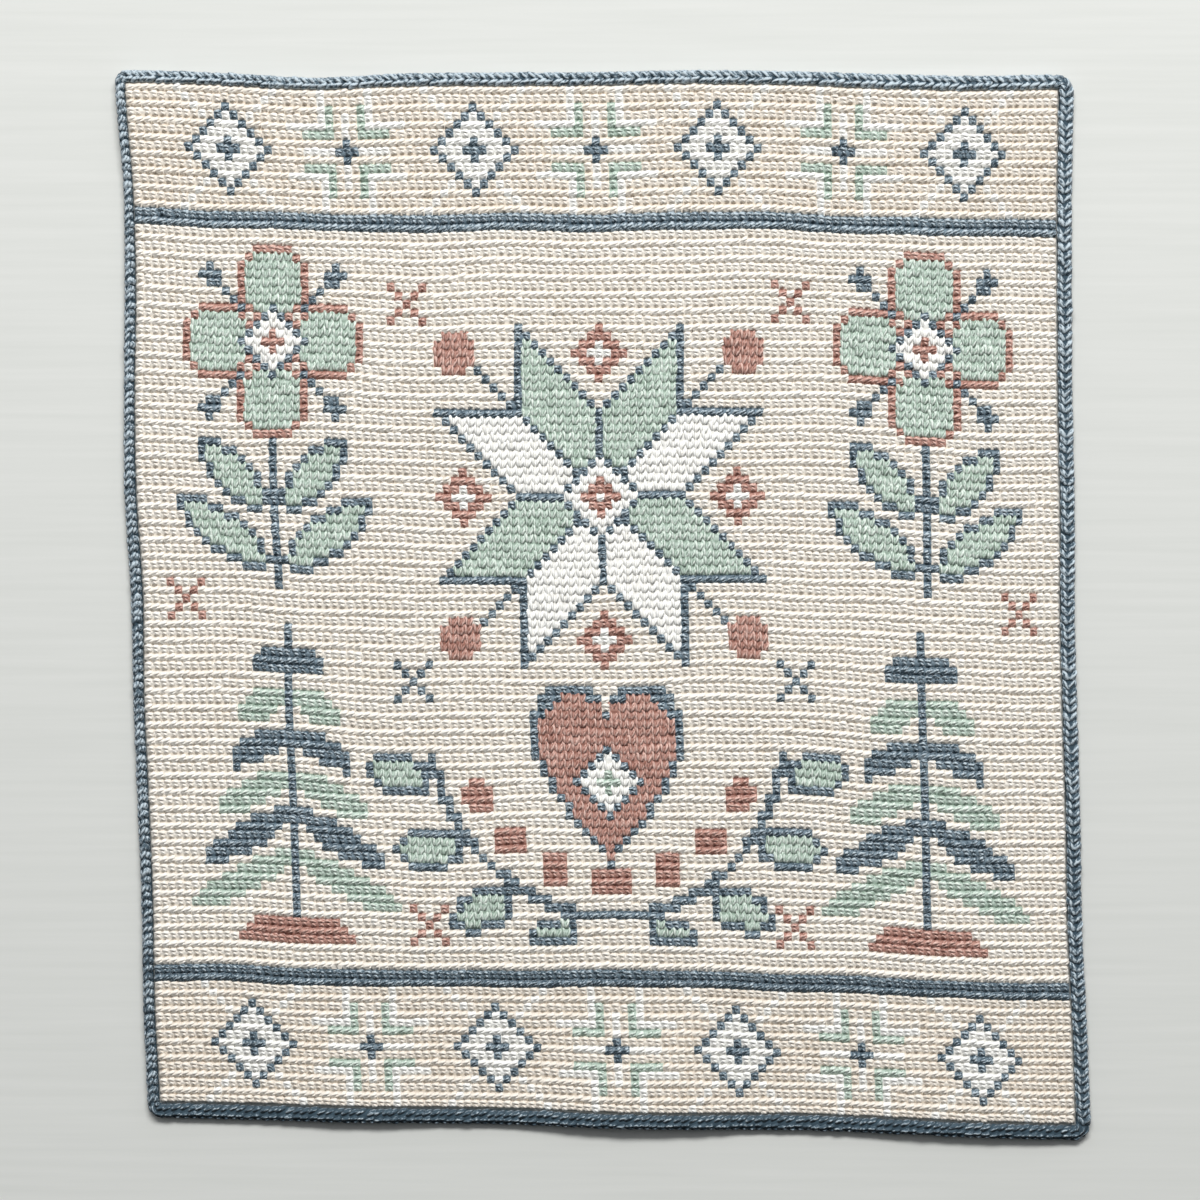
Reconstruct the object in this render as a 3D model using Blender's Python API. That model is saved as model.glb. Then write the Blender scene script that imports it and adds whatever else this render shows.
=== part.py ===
"""A crocheted wall hanging in cotton yarn, in metres with +Z up.

It hangs flat in front of a wall, which is the plane y = 0, and its front faces -Y. The origin is on
the wall, at the middle of the top edge of the edging. The hanging has two pieces: the panel, worked
in rows in one piece with a band at the top and one at the bottom, and the edging, a thick crocheted
border worked on all round it afterwards.
"""

import math

import bmesh
import bpy
from mathutils import Vector

MM = 0.001

# Counts of the crochet work.
BAND_ROWS = 15
DIVIDER_ROWS = 2
FIELD_ROWS = 88
ROWS = 2 * BAND_ROWS + 2 * DIVIDER_ROWS + FIELD_ROWS

# Nominal size of the panel without its edging, and where its top edge lies below the origin.
PANEL_WIDTH = 460 * MM
PANEL_TOP = -8.3 * MM
TOP_BAND_DROP = 67.5 * MM
FIELD_DROP = 378.5 * MM
BOTTOM_BAND_DROP = 65 * MM

# Thickness of the cloth at the grooves between two rows and at the crown of a row.
GROOVE_THICKNESS = 2.5 * MM
CROWN_THICKNESS = 3.6 * MM
DIVIDER_RISE = 0.5 * MM

# The edging: its width on each side, its thickness and the gap that parts it from the panel.
EDGING_WIDTH = {"top": 7.2 * MM, "right": 8.0 * MM, "bottom": 8.0 * MM, "left": 6.8 * MM}
EDGING_THICKNESS = 4.8 * MM
SEAM_GAP = 0.3 * MM
SECTION_SIDES = 8
CORNER_STEPS = 4

# How finely the panel is divided: columns across, and front lines for each back line.
COLUMNS = 14
LINES_PER_ROW = 2
FRONT_LINES_PER_BACK_LINE = 4
ROWS_PER_EDGING_STEP = 4

# How far the four lines that run across leave their nominal height, in mm, at even steps across.
# Columns: top edge, middle of the upper divider, middle of the lower divider, bottom edge.
LEVEL_COLUMNS = ("top", "upper_divider", "lower_divider", "bottom")
LEVEL_DRIFT = (
    (1.4, 4.0, 3.5, 5.0),
    (0.0, 1.5, 3.8, 4.0),
    (-2.4, 0.5, 1.5, 2.8),
    (-0.3, -1.2, 1.0, 2.2),
    (0.3, -0.5, 1.0, 1.5),
    (0.4, 0.2, 0.0, -0.2),
    (1.4, 1.5, -0.5, -0.8),
    (1.1, 1.0, -1.2, -1.2),
    (-0.2, -1.0, -3.0, -2.8),
    (-1.3, -3.0, -4.8, -4.8),
    (-0.8, -3.0, -5.8, -6.0),
)

# How far the two sides leave their nominal place, in mm, at even steps from top to bottom.
SIDE_COLUMNS = ("left", "right")
SIDE_DRIFT = (
    (-3.4, 0.4),
    (0.6, -0.4),
    (1.1, -0.4),
    (0.8, -0.1),
    (1.0, 1.0),
    (4.1, 1.0),
    (5.5, 2.2),
    (7.5, 3.8),
    (9.6, 4.6),
    (10.5, 7.0),
    (12.4, 8.8),
)

# Where the cloth stands off the wall: share across, share down, height in mm, reach across, reach down.
BULGE_COLUMNS = ("across", "down", "height", "reach_across", "reach_down")
BULGES = (
    (0.00, 0.04, 1.4, 0.07, 0.07),
    (0.21, 1.00, 1.6, 0.11, 0.09),
    (0.52, 1.00, 3.2, 0.15, 0.12),
    (0.88, 1.00, 1.8, 0.16, 0.10),
    (0.28, 0.27, 1.2, 0.19, 0.13),
    (0.76, 0.60, 1.4, 0.20, 0.15),
    (0.33, 0.78, 1.0, 0.18, 0.11),
)


def between(values, share):
    """The value at a share of the way along evenly spaced values, on a smooth curve through them."""
    place = min(max(share, 0.0), 1.0) * (len(values) - 1)
    step = min(int(place), len(values) - 2)
    part = place - step
    before, low, high, after = (
        values[min(max(step + offset, 0), len(values) - 1)] for offset in (-1, 0, 1, 2)
    )
    slope_low = (high - before) / 2
    slope_high = (after - low) / 2
    return (
        low * (1 + 2 * part) * (1 - part) ** 2
        + slope_low * part * (1 - part) ** 2
        + high * (3 - 2 * part) * part**2
        - slope_high * (1 - part) * part**2
    )


def level(name, across):
    """Height of one of the four lines across the panel, at a share of the width."""
    drops = {
        "top": 0.0,
        "upper_divider": TOP_BAND_DROP,
        "lower_divider": TOP_BAND_DROP + FIELD_DROP,
        "bottom": TOP_BAND_DROP + FIELD_DROP + BOTTOM_BAND_DROP,
    }
    drift = [row[LEVEL_COLUMNS.index(name)] for row in LEVEL_DRIFT]
    return PANEL_TOP - drops[name] + between(drift, across) * MM


def side(name, down):
    """Place of the left or right side of the panel, at a share of the height."""
    drift = [row[SIDE_COLUMNS.index(name)] for row in SIDE_DRIFT]
    nominal = -PANEL_WIDTH / 2 if name == "left" else PANEL_WIDTH / 2
    return nominal + between(drift, down) * MM


def lift(across, down):
    """How far the back of the cloth stands off the wall: each bulge is a smooth mound of its own reach."""
    total = 0.0
    for row in BULGES:
        bulge = dict(zip(BULGE_COLUMNS, row))
        away_across = (across - bulge["across"]) / bulge["reach_across"]
        away_down = (down - bulge["down"]) / bulge["reach_down"]
        away = away_across**2 + away_down**2
        if away < 1:
            total += bulge["height"] * MM * (1 - away) ** 2
    return total


def panel_point(across, row, thickness):
    """A point of the panel: share across, rows from the top, and height above the cloth's back."""
    upper = BAND_ROWS + DIVIDER_ROWS / 2
    lower = ROWS - upper
    if row <= upper:
        high, low, part = "top", "upper_divider", row / upper
    elif row <= lower:
        high, low, part = "upper_divider", "lower_divider", (row - upper) / (lower - upper)
    else:
        high, low, part = "lower_divider", "bottom", (row - lower) / (ROWS - lower)
    down = row / ROWS
    x = side("left", down) * (1 - across) + side("right", down) * across
    z = level(high, across) * (1 - part) + level(low, across) * part
    return Vector((x, -lift(across, down) - thickness, z))


def front_thickness(line):
    """Thickness at one line of the front: lines between rows are grooves and the others are crowns."""
    if line % LINES_PER_ROW == 0:
        return GROOVE_THICKNESS
    row = line // LINES_PER_ROW
    in_upper = BAND_ROWS <= row < BAND_ROWS + DIVIDER_ROWS
    in_lower = ROWS - BAND_ROWS - DIVIDER_ROWS <= row < ROWS - BAND_ROWS
    return CROWN_THICKNESS + (DIVIDER_RISE if in_upper or in_lower else 0.0)


def cotton(name, colour):
    """A dull cotton yarn finish of one colour."""
    material = bpy.data.materials.new(name)
    material.use_nodes = True
    shader = material.node_tree.nodes["Principled BSDF"]
    shader.inputs["Base Color"].default_value = (*colour, 1.0)
    shader.inputs["Roughness"].default_value = 0.85
    shader.inputs["Metallic"].default_value = 0.0
    return material


def add_object(name, data, material, collection):
    """Puts a mesh or curve in the scene as one named object with its material."""
    made = bpy.data.objects.new(name, data)
    made.data.materials.append(material)
    collection.objects.link(made)
    return made


def make_panel(collection):
    """The one-piece panel: a ribbed front and a smooth back on the same folds.

    The front has four lines for each line of the back, a loft that no primitive gives, so its faces
    are laid here. A side face joins five points of the front to two of the back.
    """
    work = bmesh.new()
    shares = [column / COLUMNS for column in range(COLUMNS + 1)]
    front = []
    for line in range(ROWS * LINES_PER_ROW + 1):
        row = line / LINES_PER_ROW
        thickness = front_thickness(line)
        front.append([work.verts.new(panel_point(share, row, thickness)) for share in shares])
    back = []
    for line in range(0, ROWS * LINES_PER_ROW + 1, FRONT_LINES_PER_BACK_LINE):
        row = line / LINES_PER_ROW
        back.append([work.verts.new(panel_point(share, row, 0.0)) for share in shares])

    for lines, outward in ((front, 1), (back, -1)):
        for upper, lower in zip(lines, lines[1:]):
            for left in range(COLUMNS):
                corners = [upper[left], lower[left], lower[left + 1], upper[left + 1]]
                work.faces.new(corners[::outward])
    for step in range(len(back) - 1):
        first = step * FRONT_LINES_PER_BACK_LINE
        run = front[first : first + FRONT_LINES_PER_BACK_LINE + 1]
        work.faces.new([line[0] for line in reversed(run)] + [back[step][0], back[step + 1][0]])
        work.faces.new([line[-1] for line in run] + [back[step + 1][-1], back[step][-1]])
    for left in range(COLUMNS):
        top = [front[0][left], front[0][left + 1], back[0][left + 1], back[0][left]]
        bottom = [front[-1][left + 1], front[-1][left], back[-1][left], back[-1][left + 1]]
        work.faces.new(top)
        work.faces.new(bottom)

    bmesh.ops.recalc_face_normals(work, faces=work.faces)
    mesh = bpy.data.meshes.new("panel")
    work.to_mesh(mesh)
    work.free()
    return add_object("panel", mesh, cotton("cream_cotton", (0.80, 0.73, 0.62)), collection)


def edging_side(name):
    """Points along one side of the panel in clockwise order, as seen from the front, corners included."""
    steps = [share / COLUMNS for share in range(COLUMNS + 1)]
    rows = list(range(0, ROWS, ROWS_PER_EDGING_STEP)) + [ROWS]
    places = {
        "top": [(across, 0) for across in steps],
        "right": [(1.0, row) for row in rows],
        "bottom": [(across, ROWS) for across in reversed(steps)],
        "left": [(0.0, row) for row in reversed(rows)],
    }
    return [panel_point(across, row, 0.0) for across, row in places[name]]


def outward_at(points, index):
    """Unit direction in the plane of the wall that points away from the panel at one point of a side."""
    along = points[min(index + 1, len(points) - 1)] - points[max(index - 1, 0)]
    return Vector((-along.z, 0.0, along.x)).normalized()


def edging_route():
    """Each station round the panel: a point of its rim, the way out from it, and the edging's width there.

    The route turns at each corner in short steps, so the edging's own corners are rounded.
    """
    order = ("top", "right", "bottom", "left")
    route = []
    for name, following in zip(order, order[1:] + order[:1]):
        points = edging_side(name)
        width = EDGING_WIDTH[name]
        for index in range(1, len(points) - 1):
            route.append((points[index], outward_at(points, index), width))
        here = outward_at(points, len(points) - 1)
        there = outward_at(edging_side(following), 0)
        for step in range(CORNER_STEPS + 1):
            share = step / CORNER_STEPS
            turned = here.slerp(there, share)
            corner_width = width * (1 - share) + EDGING_WIDTH[following] * share
            route.append((points[-1], turned, corner_width))
    return route


def make_edging(collection):
    """The edging: a rounded section lofted round the panel, wider on some sides than on others."""
    work = bmesh.new()
    fit = math.cos(math.pi / SECTION_SIDES)
    rings = []
    for rim, outward, width in edging_route():
        centre = rim + outward * (SEAM_GAP + width / 2)
        centre.y = rim.y - EDGING_THICKNESS / 2
        ring = []
        for index in range(SECTION_SIDES):
            turn = math.tau * (index + 0.5) / SECTION_SIDES
            sideways = outward * (math.cos(turn) * width / 2 / fit)
            forward = Vector((0.0, -math.sin(turn) * EDGING_THICKNESS / 2 / fit, 0.0))
            ring.append(work.verts.new(centre + sideways + forward))
        rings.append(ring)
    for ring, following in zip(rings, rings[1:] + rings[:1]):
        for index in range(SECTION_SIDES):
            beside = (index + 1) % SECTION_SIDES
            work.faces.new([ring[index], ring[beside], following[beside], following[index]])

    bmesh.ops.recalc_face_normals(work, faces=work.faces)
    mesh = bpy.data.meshes.new("edging")
    work.to_mesh(mesh)
    work.free()
    return add_object("edging", mesh, cotton("slate_cotton", (0.13, 0.18, 0.22)), collection)


def main():
    for leftover in list(bpy.data.objects):
        bpy.data.objects.remove(leftover, do_unlink=True)
    hanging = bpy.data.collections.new("crocheted_wall_hanging")
    bpy.context.scene.collection.children.link(hanging)
    make_panel(hanging)
    make_edging(hanging)


main()
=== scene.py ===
# %% [markdown]
# # A crocheted wall hanging
# The real piece is worked in cotton yarn in single crochet, back and forth, with several colours carried
# along inside the rows. Every stitch shows as one short slanted stroke of yarn, so the picture is a grid
# of strokes. A flat sheet with a picture on it would look printed. Here each stitch is laid as its own
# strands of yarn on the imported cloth's own curves, and the colours come from a chart that code draws.

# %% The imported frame
import math

import bpy
import numpy as np
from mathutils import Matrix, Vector


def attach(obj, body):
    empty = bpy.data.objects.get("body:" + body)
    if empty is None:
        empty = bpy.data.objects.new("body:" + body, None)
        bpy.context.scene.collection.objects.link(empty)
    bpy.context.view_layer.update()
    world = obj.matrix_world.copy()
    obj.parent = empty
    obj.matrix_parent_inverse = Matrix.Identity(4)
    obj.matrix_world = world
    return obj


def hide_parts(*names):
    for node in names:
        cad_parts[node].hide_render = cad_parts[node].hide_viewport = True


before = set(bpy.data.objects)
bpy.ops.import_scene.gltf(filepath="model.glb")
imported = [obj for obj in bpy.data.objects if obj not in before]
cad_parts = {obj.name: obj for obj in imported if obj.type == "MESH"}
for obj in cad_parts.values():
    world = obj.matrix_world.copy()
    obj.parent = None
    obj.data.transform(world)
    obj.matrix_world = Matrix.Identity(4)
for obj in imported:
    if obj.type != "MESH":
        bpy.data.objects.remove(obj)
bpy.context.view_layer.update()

MM = 0.001

# %% [markdown]
# ## The cloth's own map
# A stitch has a column and a row, and the cloth bends that grid a little: its sides lean, its edges
# wander, and it stands off the wall in a few low swells. One function turns a share across, a row and a
# height above the cloth's back into a place. Everything on the cloth goes through it, so the strands
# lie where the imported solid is. Doing this on whole arrays keeps fourteen thousand stitches quick.

# %% Counts, sizes and drift of the cloth
STITCHES = 117
BAND_ROWS = 15
DIVIDER_ROWS = 2
FIELD_ROWS = 88
ROWS = 2 * BAND_ROWS + 2 * DIVIDER_ROWS + FIELD_ROWS

PANEL_WIDTH = 460 * MM
PANEL_TOP = -8.3 * MM
LEVEL_DROPS = np.cumsum([0.0, 67.5, 378.5, 65.0]) * MM
LEVEL_ROWS = np.array([0.0, BAND_ROWS + 1, ROWS - BAND_ROWS - 1, ROWS])

# Drift in mm at even steps across, a row each for top edge, upper divider, lower divider, bottom edge.
# The strands at the bottom edge hang 0.8 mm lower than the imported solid.
LEVEL_DRIFT = np.array([
    [1.4, 0.0, -2.4, -0.3, 0.3, 0.4, 1.4, 1.1, -0.2, -1.3, -0.8],
    [4.0, 1.5, 0.5, -1.2, -0.5, 0.2, 1.5, 1.0, -1.0, -3.0, -3.0],
    [3.5, 3.8, 1.5, 1.0, 1.0, 0.0, -0.5, -1.2, -3.0, -4.8, -5.8],
    [4.2, 3.2, 2.0, 1.4, 0.7, -1.0, -1.6, -2.0, -3.6, -5.6, -6.8],
])
# Drift in mm at even steps down, a row for the left side and one for the right.
SIDE_DRIFT = np.array([
    [-3.4, 0.6, 1.1, 0.8, 1.0, 4.1, 5.5, 7.5, 9.6, 10.5, 12.4],
    [0.4, -0.4, -0.4, -0.1, 1.0, 1.0, 2.2, 3.8, 4.6, 7.0, 8.8],
])
# The edging narrows in places and the cloth takes its room: mm at even steps across or down.
NARROWING = {
    "top": np.array([1.5, 1.6, 1.6, 1.1, 0.7, 0.9, 0.7, 0.6, 0.1, 0.0, 0.0]),
    "left": np.array([1.9, 2.1, 0.9, 1.2, 0.6, 0.3, 1.2, 0.8, 0.9, 0.9, 0.3]),
}
# Where the cloth stands off the wall: share across, share down, height in mm, reach across, reach down.
BULGES = np.array([
    [0.00, 0.04, 1.4, 0.07, 0.07],
    [0.21, 1.00, 1.6, 0.11, 0.09],
    [0.52, 1.00, 3.2, 0.15, 0.12],
    [0.88, 1.00, 1.8, 0.16, 0.10],
    [0.28, 0.27, 1.2, 0.19, 0.13],
    [0.76, 0.60, 1.4, 0.20, 0.15],
    [0.33, 0.78, 1.0, 0.18, 0.11],
])
# Slow waves by which the rows stray: turns across, turns down, start of the turn, height in rows.
ROW_WAVES = np.array([
    [1.6, 0.9, 0.10, 0.14],
    [3.7, -2.1, 0.60, 0.10],
    [7.3, 3.4, 0.30, 0.06],
])
RIM_FADE = 0.12  # share of the cloth over which the waves fade out towards its rim
# Drift in mm of the stitches along their row, at even steps across: a hand is looser in the middle.
ROW_DRIFT = np.array([0.0, -0.6, -0.5, -0.6, 0.1, 1.3, 2.7, 2.8, 2.2, 3.4, 0.0])


def along_table(values, share):
    """The value at a share along evenly spaced values: a cubic between two neighbours that leaves each
    value with half the step between the values on its two sides."""
    last = len(values) - 1
    place = np.clip(share, 0.0, 1.0) * last
    step = np.minimum(place.astype(int), last - 1)
    part = place - step
    low, high = values[step], values[step + 1]
    slope_low = (high - values[np.maximum(step - 1, 0)]) / 2
    slope_high = (values[np.minimum(step + 2, last)] - low) / 2
    rest = 1 - part
    from_low = low * (1 + 2 * part) * rest**2 + slope_low * part * rest**2
    return from_low + high * (3 - 2 * part) * part**2 - slope_high * rest * part**2


def lift(across, down):
    """How far the back stands off the wall: a sum of mounds, height times (1 - distance squared)
    squared, each with its distance measured in its own reach."""
    total = np.zeros(np.broadcast(across, down).shape)
    for at_across, at_down, height, reach_across, reach_down in BULGES:
        away = ((across - at_across) / reach_across) ** 2 + ((down - at_down) / reach_down) ** 2
        total += height * MM * np.clip(1 - away, 0, None) ** 2
    return total


def straying(across, down):
    """How many rows the work strays from straight: the sum of sines of its waves, with no waves at the
    rim, so the outline stays."""
    total = np.zeros(np.broadcast(across, down).shape)
    for turns_across, turns_down, start, height in ROW_WAVES:
        total += height * np.sin(2 * np.pi * (turns_across * across + turns_down * down + start))
    from_rim = np.minimum(np.minimum(across, 1 - across), np.minimum(down, 1 - down))
    return total * np.clip(from_rim / RIM_FADE, 0, 1)


def cloth_point(across, row, height):
    """Place of a point of the cloth: straight between the two sides across, straight between the two
    nearest level lines down, and its height straight off the wall. First the row strays, and the stitches
    drift along it."""
    across, row, height = np.broadcast_arrays(*(np.asarray(v, float) for v in (across, row, height)))
    row = row + straying(across, row / ROWS)
    across = across + along_table(ROW_DRIFT, across) * MM / PANEL_WIDTH
    down = row / ROWS
    left = -PANEL_WIDTH / 2 + along_table(SIDE_DRIFT[0] - NARROWING["left"], down) * MM
    right = PANEL_WIDTH / 2 + along_table(SIDE_DRIFT[1], down) * MM
    levels = np.stack([
        PANEL_TOP - drop + along_table(drift, across) * MM for drop, drift in zip(LEVEL_DROPS, LEVEL_DRIFT)
    ])
    levels[0] += along_table(NARROWING["top"], across) * MM
    zone = np.clip(np.searchsorted(LEVEL_ROWS, row, side="left") - 1, 0, len(LEVEL_ROWS) - 2)
    part = (row - LEVEL_ROWS[zone]) / (LEVEL_ROWS[zone + 1] - LEVEL_ROWS[zone])
    upper = np.take_along_axis(levels, zone[None], 0)[0]
    lower = np.take_along_axis(levels, zone[None] + 1, 0)[0]
    x = left * (1 - across) + right * across
    z = upper * (1 - part) + lower * part
    return np.stack([x, -lift(across, down) - height, z], axis=-1)


corners = cloth_point([0, 1, 0, 1], [0, 0, ROWS, ROWS], 0.0)
print("cloth corners in mm:", np.round(corners / MM, 1).tolist())

# %% [markdown]
# ## The chart
# A crocheter works from a chart, one square for each stitch. This one is drawn by formulas: distances in
# stitches from a motif's middle decide the yarn. The two bands carry common repeats, lozenges and
# bracket stars. The middle holds a plain folk sampler of star, heart, blossoms and firs, drawn on its
# left half and mirrored. Wide shapes are worked in upright stitches that show as V shapes, so the chart
# also says which stitches stand upright.

# %% The bands
CREAM, BEIGE, WHITE, SAGE, TERRACOTTA, SLATE = range(6)
MIDDLE = STITCHES // 2
LOZENGE_COLUMNS = (12, 43, 73, 104)
STAR_COLUMNS = (27, 58, 89)


def band_chart():
    """One band. Down and aside are a stitch's distances from the middle of its repeat: a lozenge is
    where their sum is small, and a star's brackets are where one of them is fixed."""
    chart = np.full((BAND_ROWS, STITCHES), BEIGE)
    row, column = np.indices(chart.shape)
    down = np.abs(row - BAND_ROWS // 2)
    for middle in LOZENGE_COLUMNS:
        aside = np.abs(column - middle)
        chart[(aside == down - 1) & (down >= 4)] = WHITE
        chart[aside + down < 5] = WHITE
        chart[aside + down == 5] = SLATE
        chart[aside + down <= 1] = SLATE
    for middle in STAR_COLUMNS:
        aside = np.abs(column - middle)
        chart[(aside == 3) & (down >= 3)] = WHITE
        chart[(aside >= 3) & (aside <= 7) & (down == 3)] = WHITE
        chart[(aside == 0) & (down >= 2) & (down <= 4)] = WHITE
        chart[(aside >= 2) & (aside <= 5) & (down == 0)] = WHITE
        chart[(aside == 2) & (down >= 2) & (down <= 5)] = SAGE
        chart[(aside >= 2) & (aside <= 5) & (down == 2)] = SAGE
        chart[aside + down <= 1] = SLATE
    return chart


# %% Tools for drawing on the middle field
field = np.full((FIELD_ROWS, STITCHES), CREAM)
field_upright = np.zeros(field.shape, bool)
ROW, COLUMN = np.indices(field.shape)


def paint(shape, yarn, upright=False):
    """Works the stitches of a shape in one yarn, flat or upright."""
    field[shape] = yarn
    field_upright[shape] = upright


def outline_of(shape):
    """The stitches of a shape that have a stitch outside it above, below, left or right."""
    wide = np.pad(shape, 1)
    inside = wide[:-2, 1:-1] & wide[2:, 1:-1] & wide[1:-1, :-2] & wide[1:-1, 2:]
    return shape & ~inside


def run_between(column0, row0, column1, row1):
    """For every stitch, its distance along a straight line, its distance aside, and the line's length."""
    length = math.hypot(column1 - column0, row1 - row0)
    step_column, step_row = (column1 - column0) / length, (row1 - row0) / length
    along = (COLUMN - column0) * step_column + (ROW - row0) * step_row
    aside = (ROW - row0) * step_column - (COLUMN - column0) * step_row
    return along, aside, length


def line(*ends):
    """Stitches nearer than about half a stitch to a straight line."""
    along, aside, length = run_between(*ends)
    return (np.abs(aside) <= 0.55) & (along > -0.5) & (along < length + 0.5)


def leaf(*ends, width=5.4):
    """A pointed oval: half its width times the square root of the sine of the share along."""
    along, aside, length = run_between(*ends)
    half = width / 2 * np.sqrt(np.sin(np.pi * np.clip(along / length, 0, 1)))
    return (np.abs(aside) <= half) & (along > 0) & (along < length)


def lozenge(column, row, reach):
    """Stitches whose distances across and down add up to the reach at most."""
    return np.abs(COLUMN - column) + np.abs(ROW - row) <= reach


def disc(column, row, radius):
    """Stitches within a radius."""
    return (COLUMN - column) ** 2 + (ROW - row) ** 2 <= radius**2


def heart(column, row, size):
    """x squared plus (y - 0.72 times the root of |x|) squared below 1, with y upwards."""
    x = (COLUMN - column) / size
    y = (row - ROW) / size
    return x**2 + (y - 0.72 * np.sqrt(np.abs(x))) ** 2 < 1.0


def outlined(shape, edge, filling):
    """A shape in upright stitches of one yarn with an outline of another."""
    paint(shape, edge)
    paint(shape & ~outline_of(shape), filling, upright=True)


# %% The eight-pointed star in the middle
STAR_ROW, STAR_REACH = 31, 10
across, down = np.abs(COLUMN - MIDDLE), np.abs(ROW - STAR_ROW)
near, far = np.minimum(across, down), np.maximum(across, down)
star = (near <= STAR_REACH) & (far <= near + STAR_REACH)
turned = ((COLUMN - MIDDLE) * (ROW - STAR_ROW) > 0) ^ (down > across)
paint(star, SAGE, upright=True)
paint(star & turned, WHITE, upright=True)
paint(star & ((near == 0) | (across == down)) | outline_of(star), SLATE)
paint(lozenge(MIDDLE, STAR_ROW, 5), SLATE)
paint(lozenge(MIDDLE, STAR_ROW, 4), WHITE, upright=True)
paint(lozenge(MIDDLE, STAR_ROW, 2), TERRACOTTA)
paint(lozenge(MIDDLE, STAR_ROW, 0), WHITE)
for aside, below in ((0, -17), (0, 17), (-17, 0)):
    paint(lozenge(MIDDLE + aside, STAR_ROW + below, 3), TERRACOTTA)
    paint(lozenge(MIDDLE + aside, STAR_ROW + below, 1), WHITE)
for way in (-1, 1):
    paint(line(MIDDLE - 10, STAR_ROW + way * 10, MIDDLE - 17, STAR_ROW + way * 17), SLATE)
    paint(disc(MIDDLE - 18, STAR_ROW + way * 17, 2.6), TERRACOTTA, upright=True)
print("star stitches:", int(star.sum()))

# %% The heart and its cradle of leaves
HEART_ROW = 66
paint(heart(MIDDLE, HEART_ROW, 9.4), SLATE)
paint(heart(MIDDLE, HEART_ROW, 8.3), TERRACOTTA, upright=True)
paint(lozenge(MIDDLE, HEART_ROW - 1, 4), SLATE)
paint(lozenge(MIDDLE, HEART_ROW - 1, 3), WHITE, upright=True)
paint(lozenge(MIDDLE, HEART_ROW - 1, 1), SAGE)

CRADLE_ROW, CRADLE_RADIUS = 59, 22
from_middle = np.hypot(COLUMN - MIDDLE, ROW - CRADLE_ROW)
turn = np.degrees(np.arctan2(ROW - CRADLE_ROW, MIDDLE - COLUMN))
paint((np.abs(from_middle - CRADLE_RADIUS) < 0.62) & (turn > 6) & (turn < 92), SLATE)
for turn_of_leaf in (16, 37, 58, 78):
    angle = math.radians(turn_of_leaf)
    reach_across, reach_down = math.cos(angle), math.sin(angle)
    foot_column = MIDDLE - CRADLE_RADIUS * reach_across
    foot_row = CRADLE_ROW + CRADLE_RADIUS * reach_down
    tip_column = foot_column - 9.5 * math.cos(angle - 0.55)
    tip_row = foot_row + 9.5 * math.sin(angle - 0.55)
    shape = leaf(foot_column - reach_across, foot_row + reach_down, tip_column, tip_row)
    outlined(shape & (ROW <= 84), SLATE, SAGE)
    berry_column = MIDDLE - (CRADLE_RADIUS - 4) * math.cos(angle + 0.16)
    berry_row = CRADLE_ROW + (CRADLE_RADIUS - 4) * math.sin(angle + 0.16)
    paint(disc(berry_column, berry_row, 1.9), TERRACOTTA)

# %% The blossoms and firs at the sides, and small crosses between
BLOOM_COLUMN, BLOOM_ROW = 17, 13
for aside, below in ((0, -7), (0, 7), (-7, 0), (7, 0)):
    outlined(disc(BLOOM_COLUMN + aside, BLOOM_ROW + below, 4.5), TERRACOTTA, SAGE)
for aside in (-1, 1):
    for below in (-1, 1):
        tip = (BLOOM_COLUMN + aside * 8, BLOOM_ROW + below * 8)
        paint(line(BLOOM_COLUMN + aside * 4, BLOOM_ROW + below * 4, *tip), SLATE)
        paint(lozenge(*tip, 1), SLATE)
paint(lozenge(BLOOM_COLUMN, BLOOM_ROW, 4), SLATE)
paint(lozenge(BLOOM_COLUMN, BLOOM_ROW, 3), WHITE, upright=True)
paint(lozenge(BLOOM_COLUMN, BLOOM_ROW, 1), TERRACOTTA)
paint(line(BLOOM_COLUMN, BLOOM_ROW + 12, BLOOM_COLUMN, 42), SLATE)
for aside in (-1, 1):
    for foot, reach in ((40, 12), (33, 9)):
        outlined(leaf(BLOOM_COLUMN + aside, foot, BLOOM_COLUMN + aside * reach, foot - 8), SLATE, SAGE)

FIR_COLUMN, FIR_TOP, FIR_FOOT = 18, 47, 81
for level in range(6):
    branch_row = FIR_TOP + 3 + level * 4.8
    reach = 4.5 + level * 1.75
    for aside in (-1, 1):
        branch = (FIR_COLUMN, branch_row, FIR_COLUMN + aside * reach, branch_row + reach * 0.5)
        paint(leaf(*branch, width=3.4), SAGE if level % 2 else SLATE)
paint(line(FIR_COLUMN, FIR_TOP, FIR_COLUMN, FIR_FOOT), SLATE)
below = ROW - FIR_FOOT
paint((np.abs(COLUMN - FIR_COLUMN) <= 4 + below) & (below >= 1) & (below <= 3), TERRACOTTA)

for column, row, yarn in ((34, 8, TERRACOTTA), (34, 53, SLATE), (5, 44, TERRACOTTA), (35, 82, TERRACOTTA)):
    aside = np.abs(COLUMN - column)
    paint((aside == np.abs(ROW - row)) & (aside <= 2), yarn)

# %% The whole chart
field[:, MIDDLE + 1 :] = field[:, :MIDDLE][:, ::-1]
field_upright[:, MIDDLE + 1 :] = field_upright[:, :MIDDLE][:, ::-1]
divider = np.full((DIVIDER_ROWS, STITCHES), SLATE)
chart = np.concatenate([band_chart(), divider, field, divider, band_chart()])
upright = np.zeros(chart.shape, bool)
upright[BAND_ROWS + DIVIDER_ROWS : -BAND_ROWS - DIVIDER_ROWS] = field_upright
YARNS = ("cream", "beige", "white", "sage", "terracotta", "slate")
print("stitches of each yarn:", dict(zip(YARNS, np.bincount(chart.ravel()).tolist())))

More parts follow.
